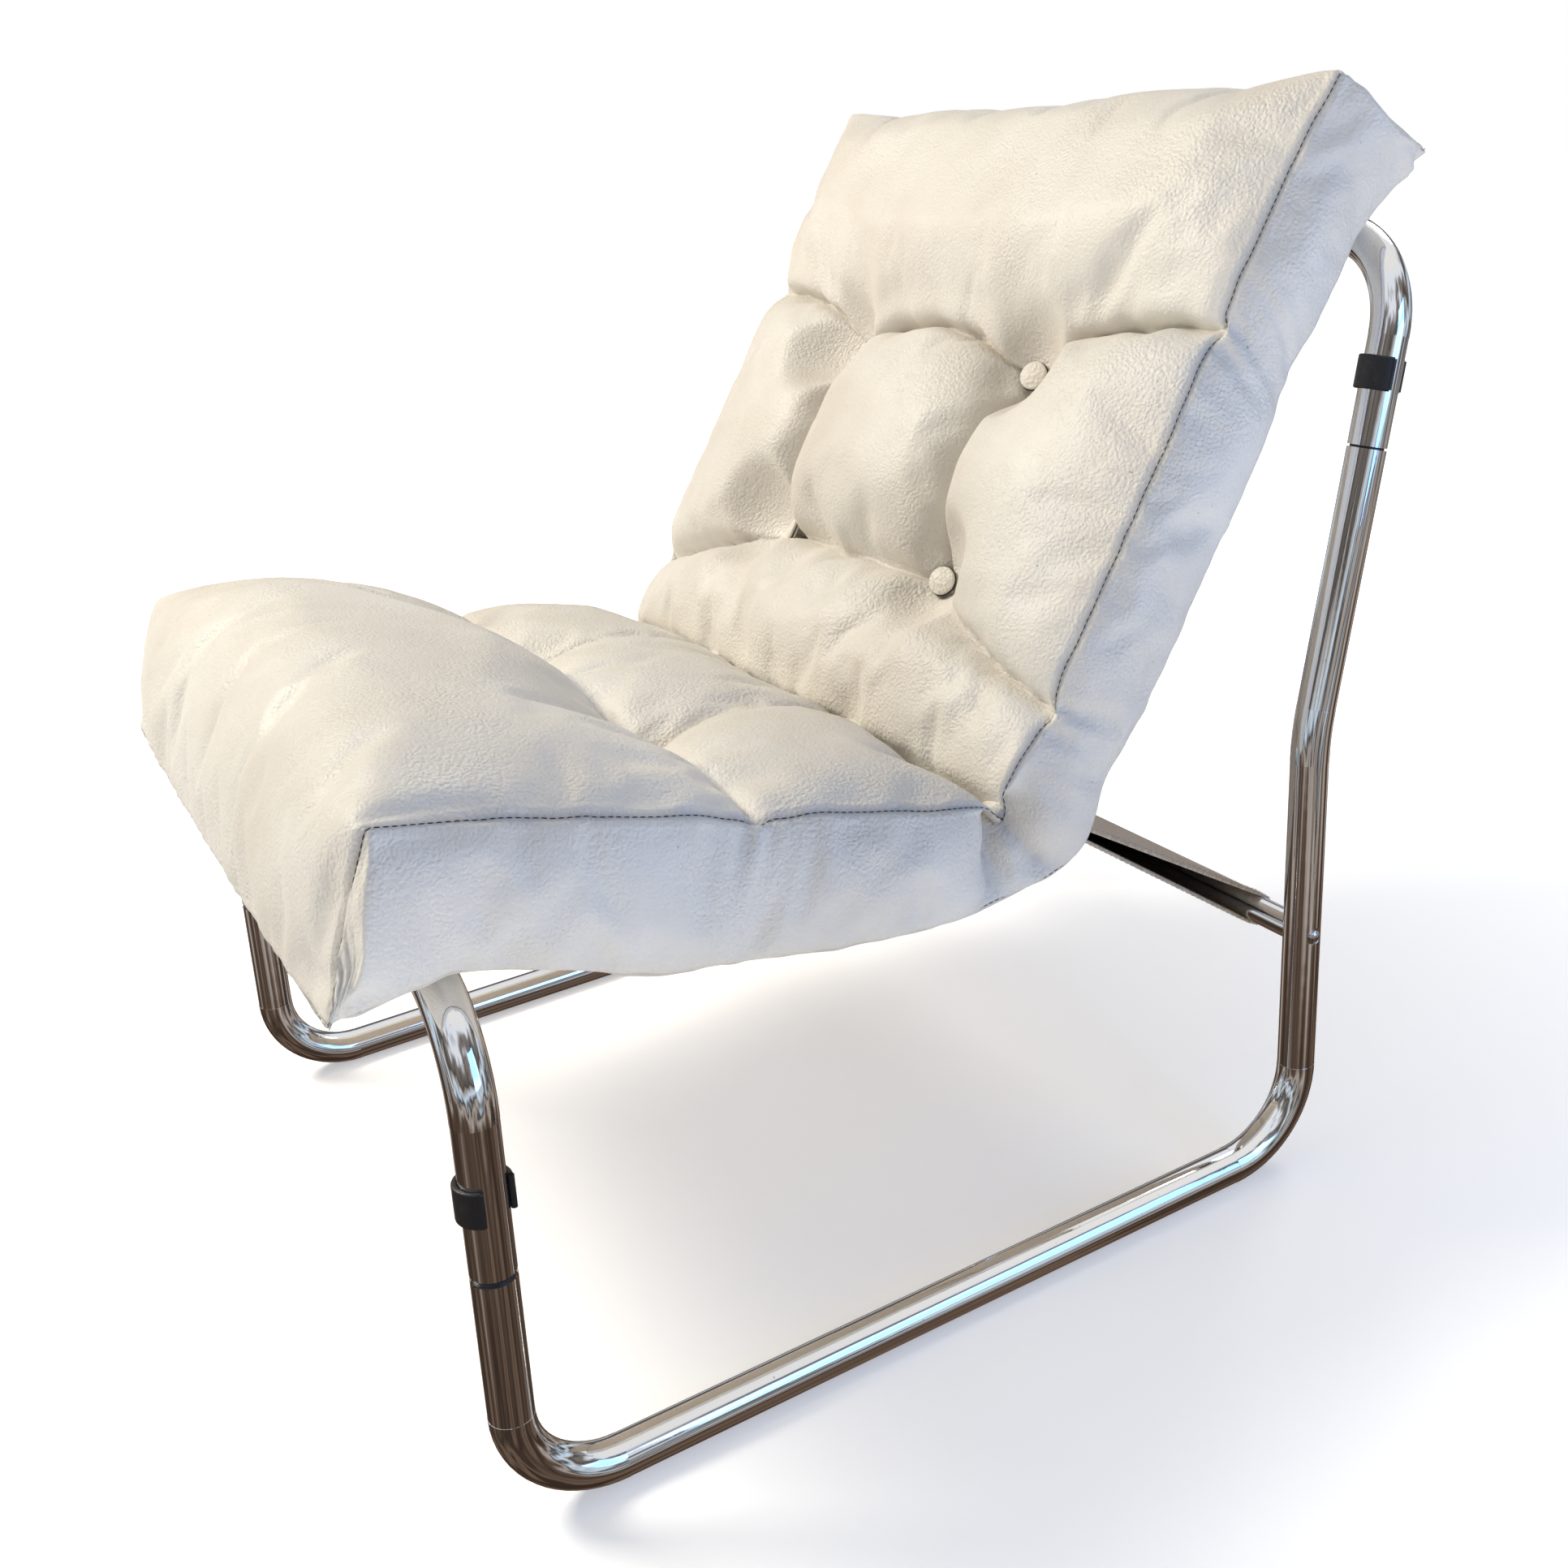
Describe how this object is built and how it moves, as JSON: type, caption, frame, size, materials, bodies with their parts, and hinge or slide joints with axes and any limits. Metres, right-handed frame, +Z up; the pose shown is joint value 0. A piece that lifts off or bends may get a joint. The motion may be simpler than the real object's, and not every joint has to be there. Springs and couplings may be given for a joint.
{
  "type": "lounge chair",
  "caption": "Low lounge chair: bent chrome tube side frames and crosspieces, a canvas sling tied to a lower bar, and one long tufted leatherette cushion.",
  "frame": {"origin": "on the floor, midway between the side frames and midway between the front and rear feet", "axes": "+X towards the sitter's left, +Y to the rear, +Z up; the sitter faces -Y"},
  "size_m": [0.6092, 0.7224, 0.703],
  "materials": {
    "chrome": "bright polished chrome plate on steel tube, faint scuffs",
    "bolt_steel": "plated steel with a low shine",
    "black_nylon": "satin black moulded nylon",
    "canvas": "undyed plain-weave cotton canvas, hemmed",
    "foam": "cut polyurethane foam",
    "leatherette": "cream pebble-grain leatherette with a soft sheen and dark seam stitching",
    "button_cover": "cream leatherette stretched over a flat button, with a dark rim",
    "twine": "waxed linen twine"
  },
  "bodies": {
    "frame": {"side_frame_right": "chrome", "side_frame_left": "chrome", "front_crosspiece": "chrome", "top_crosspiece": "chrome", "front_spigot_right": "black_nylon", "front_spigot_left": "black_nylon", "top_spigot_right": "black_nylon", "top_spigot_left": "black_nylon", "front_clip_right": "black_nylon", "front_clip_left": "black_nylon", "top_clip_right": "black_nylon", "top_clip_left": "black_nylon", "lower_bar": "chrome", "lower_bar_plug_right": "chrome", "lower_bar_plug_left": "chrome", "lower_bar_bolt_right": "bolt_steel", "lower_bar_bolt_left": "bolt_steel", "sling_seat": "canvas", "sling_back": "canvas", "sling_tie": "canvas"},
    "cushion": {"cushion_seat_foam": "foam", "cushion_back_foam": "foam", "cushion_face_panel": "leatherette", "cushion_under_panel": "leatherette", "cushion_gusset_right": "leatherette", "cushion_gusset_left": "leatherette", "tuft_buttons": "button_cover", "tuft_backers": "black_nylon", "tuft_ties": "twine"}
  },
  "joints": [
    {"name": "cushion_lift", "type": "slide", "parent": "frame", "child": "cushion", "axis": [0, 0, 1], "range_m": [0, 0.35]}
  ]
}
